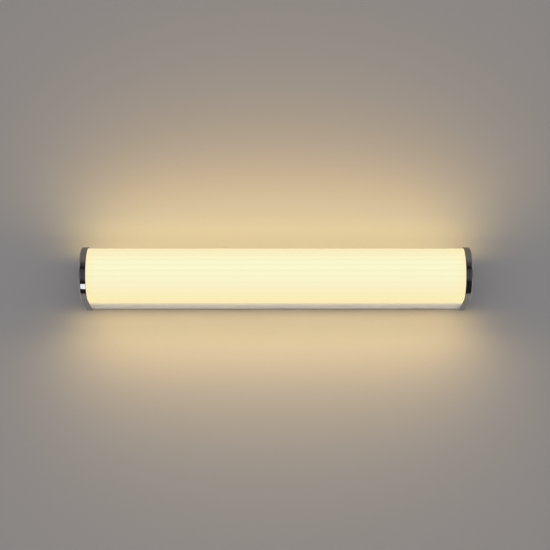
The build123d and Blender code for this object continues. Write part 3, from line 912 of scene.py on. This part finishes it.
def evenly(low, high, count):
    """Count values from low to high, or the middle one."""
    if count == 1:
        return [(low + high) / 2]
    return [low + (high - low) * i / (count - 1) for i in range(count)]


def place_screws(tree, node, body, radius, counts, facing, seed):
    """Threaded screws in place of a CAD node: counts along X, Y and Z, with heads that face an axis."""
    low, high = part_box(node)
    head = HEAD_RATIO * radius
    head_height = HEAD_HEIGHT_RATIO * radius
    axis = max(range(3), key=lambda i: abs(facing[i]))
    seat = (high[axis] if facing[axis] > 0 else low[axis]) - facing[axis] * head_height
    spans = [[seat] if i == axis else evenly(low[i] + head, high[i] - head, counts[i]) for i in range(3)]
    points = [(x, y, z) for x in spans[0] for y in spans[1] for z in spans[2]]
    piece = grow(node + "_threaded", points, tree, {
        "Radius": radius,
        "Shank Length": high[axis] - low[axis] - head_height,
        "Head Radius": head,
        "Head Height": head_height,
        "Head Edge": HEAD_EDGE_RATIO * radius,
        "Recess Length": RECESS_LENGTH_RATIO * radius,
        "Recess Width": RECESS_WIDTH_RATIO * radius,
        "Recess Depth": RECESS_DEPTH_RATIO * radius,
        "Thread Pitch": THREAD_PITCH_RATIO * radius,
        "Thread Depth": THREAD_DEPTH_RATIO * radius,
        "Turn": Vector(UP).rotation_difference(Vector(facing)).to_euler(),
        "Seed": seed,
        "Finish": finishes[slot_of[node]],
    })
    dress(piece, body, node)


pan_screws = screw_tree()
for screw_set in SCREW_SETS:
    place_screws(pan_screws, *screw_set)


# Stage


def one_sided(name, tones, grains):
    """Plain backdrop paint that can be looked through from behind."""
    finish = grained(name, *tones, rough=(0.75, 0.9), grains=grains, patches=3.0, bump=0.02)
    tree, shader = shader_of(finish)
    from_behind = tree.nodes.new("ShaderNodeNewGeometry").outputs["Backfacing"]
    clear = tree.nodes.new("ShaderNodeBsdfTransparent")
    mixed = put(tree, "ShaderNodeMixShader", {0: from_behind, 1: shader.outputs[0], 2: clear.outputs[0]})
    set_inputs(tree, tree.nodes["Material Output"], {"Surface": mixed.outputs[0]})
    return finish


def stage_mesh(name, corners, faces, finish):
    """Flat stage piece from its corners, which polished faces don't mirror."""
    mesh = bpy.data.meshes.new(name)
    mesh.from_pydata(corners, [], faces)
    mesh.materials.append(finish)
    piece = bpy.data.objects.new(name, mesh)
    bpy.context.scene.collection.objects.link(piece)
    piece.visible_glossy = False
    return piece


def rectangle(half_width, half_height):
    """Corners of a rectangle about its middle, in turn."""
    return [(x * half_width, y * half_height) for x, y in ((-1, -1), (1, -1), (1, 1), (-1, 1))]


def add_wall():
    """Wall behind the light, open behind its foam sheet."""
    rim_and_window = rectangle(STAGE_HALF, STAGE_HALF) + rectangle(*WINDOW)
    corners = [(x, WALL_GAP, z) for x, z in rim_and_window]
    faces = [(i, (i + 1) % 4, (i + 1) % 4 + 4, i + 4) for i in range(4)]
    wall = stage_mesh("wall_backdrop", corners, faces, one_sided("wall_paint", WALL_TONES, WALL_GRAINS))
    wall.visible_shadow = False


def add_floor():
    """Floor of the room."""
    corners = [(x, y, FLOOR_LEVEL) for x, y in rectangle(STAGE_HALF, STAGE_HALF)]
    stage_mesh("floor", corners, [(0, 1, 2, 3)], one_sided("floor_paint", FLOOR_TONES, FLOOR_GRAINS))


add_wall()
add_floor()


# Lights


def add_light(name, place, aim, size, watts, colour, body=None):
    """Rectangular light that shines along aim, its first size along X; it moves with a body that is named."""
    lamp = bpy.data.lights.new(name, "AREA")
    lamp.shape = "RECTANGLE"
    lamp.size, lamp.size_y = size
    lamp.energy = watts
    lamp.color = colour
    holder = bpy.data.objects.new(name, lamp)
    bpy.context.scene.collection.objects.link(holder)
    holder.location = place
    holder.rotation_euler = Vector(aim).to_track_quat("-Z", "Y").to_euler()
    holder.parent = frame["bodies"][body] if body else None
    holder.visible_camera = False
    holder.visible_glossy = False
    return holder


def round_strip(turn):
    """Place and aim of a strip on the round front, both as depth and height."""
    aim = (math.cos(turn), math.sin(turn))
    return (FLAT_END + GLOW_RADIUS * aim[0], GLOW_RADIUS * aim[1]), aim


def add_glow(name, side, strip, watts, colour):
    """Strip of glow above or below the light."""
    (depth, height), (aim_depth, aim_height) = strip
    place = (0, -depth, side * height)
    aim = (0, -aim_depth, side * aim_height)
    add_light(name, place, aim, GLOW_SIZE, watts, colour, "light")


near_strip = (NEAR_DEPTH, GLOW_RADIUS), (-math.sin(NEAR_TILT), math.cos(NEAR_TILT))
front_strip = round_strip(FRONT_TURN)
wide_strip = round_strip(WIDE_TURN)
add_glow("upper_near_glow", ABOVE, near_strip, watts=0.083, colour=(1.0, 0.71, 0.16))
add_glow("upper_front_glow", ABOVE, front_strip, watts=0.22, colour=(1.0, 0.75, 0.31))
add_glow("upper_wide_glow", ABOVE, wide_strip, watts=0.29, colour=(1.0, 0.46, 0.0))
add_glow("lower_near_glow", BELOW, near_strip, watts=0.073, colour=(1.0, 0.71, 0.21))
add_glow("lower_front_glow", BELOW, front_strip, watts=0.235, colour=(1.0, 0.69, 0.3))

# Soft key on the back, for views from behind the wall
add_light("back_softbox", **BACK_SOFTBOX)

# Narrow beam from below on the tray's underside
underside_fill = add_light("underside_fill", **UNDERSIDE_FILL, body="light")
underside_fill.data.spread = UNDERSIDE_BEAM

# Softbox that only the left cap's round mirrors
left_softbox = add_light("left_softbox", **LEFT_SOFTBOX)
left_softbox.visible_glossy = True
left_softbox.visible_diffuse = False


# World


def room_colours(tree):
    """What polished faces see: grey above, dark in front, warm grey below, and lighter views at the sides."""
    sideways, back, rise = split(tree, tree.nodes.new("ShaderNodeTexCoord").outputs["Generated"])
    across = abs(sideways)
    tilt = calc(tree, "DEGREES", calc(tree, "ARCTAN2", rise, -back))
    ahead = banded(tree, tilt, ROOM_BANDS)
    lit = calc(tree, "MAXIMUM", smooth_step(tree, back, *LIT_BACK), smooth_step(tree, -back, *LIT_AHEAD))
    beside = two_tones(tree, lit, banded(tree, rise, SIDE_DIM_BANDS), banded(tree, rise, SIDE_LIT_BANDS))
    rear_side = smooth_step(tree, across, *REAR_SIDE_ACROSS) * smooth_step(tree, back, *REAR_SIDE_BACK)
    side = calc(tree, "MAXIMUM", rear_side, smooth_step(tree, across, *SIDE_ACROSS))
    return two_tones(tree, side, ahead, beside)


def add_world():
    """Even studio light all round, in which polished faces see the room."""
    world = bpy.data.worlds.new("studio")
    bpy.context.scene.world = world
    world.use_nodes = True
    tree = world.node_tree
    tree.nodes.clear()
    mirrored = put(tree, "ShaderNodeBackground", {"Color": room_colours(tree), "Strength": 1.0})
    even = put(tree, "ShaderNodeBackground", {"Color": AMBIENT, "Strength": 1.0})
    glossy = tree.nodes.new("ShaderNodeLightPath").outputs["Is Glossy Ray"]
    either = put(tree, "ShaderNodeMixShader", {0: glossy, 1: even.outputs[0], 2: mirrored.outputs[0]})
    put(tree, "ShaderNodeOutputWorld", {"Surface": either.outputs[0]})


add_world()


# Camera


def add_camera():
    """Camera of the photograph."""
    camera_data = bpy.data.cameras.new("camera")
    camera_data.sensor_width = SENSOR
    camera_data.lens = FOCAL_PIXELS / IMAGE_SIDE * SENSOR
    camera_data.clip_start = CLIP_START
    camera = bpy.data.objects.new("camera", camera_data)
    bpy.context.scene.collection.objects.link(camera)
    camera.location = CAMERA_PLACE
    camera.rotation_euler = (math.pi / 2 + CAMERA_PITCH, 0, 0)
    bpy.context.scene.camera = camera
    bpy.context.scene.view_settings.view_transform = "Standard"


add_camera()
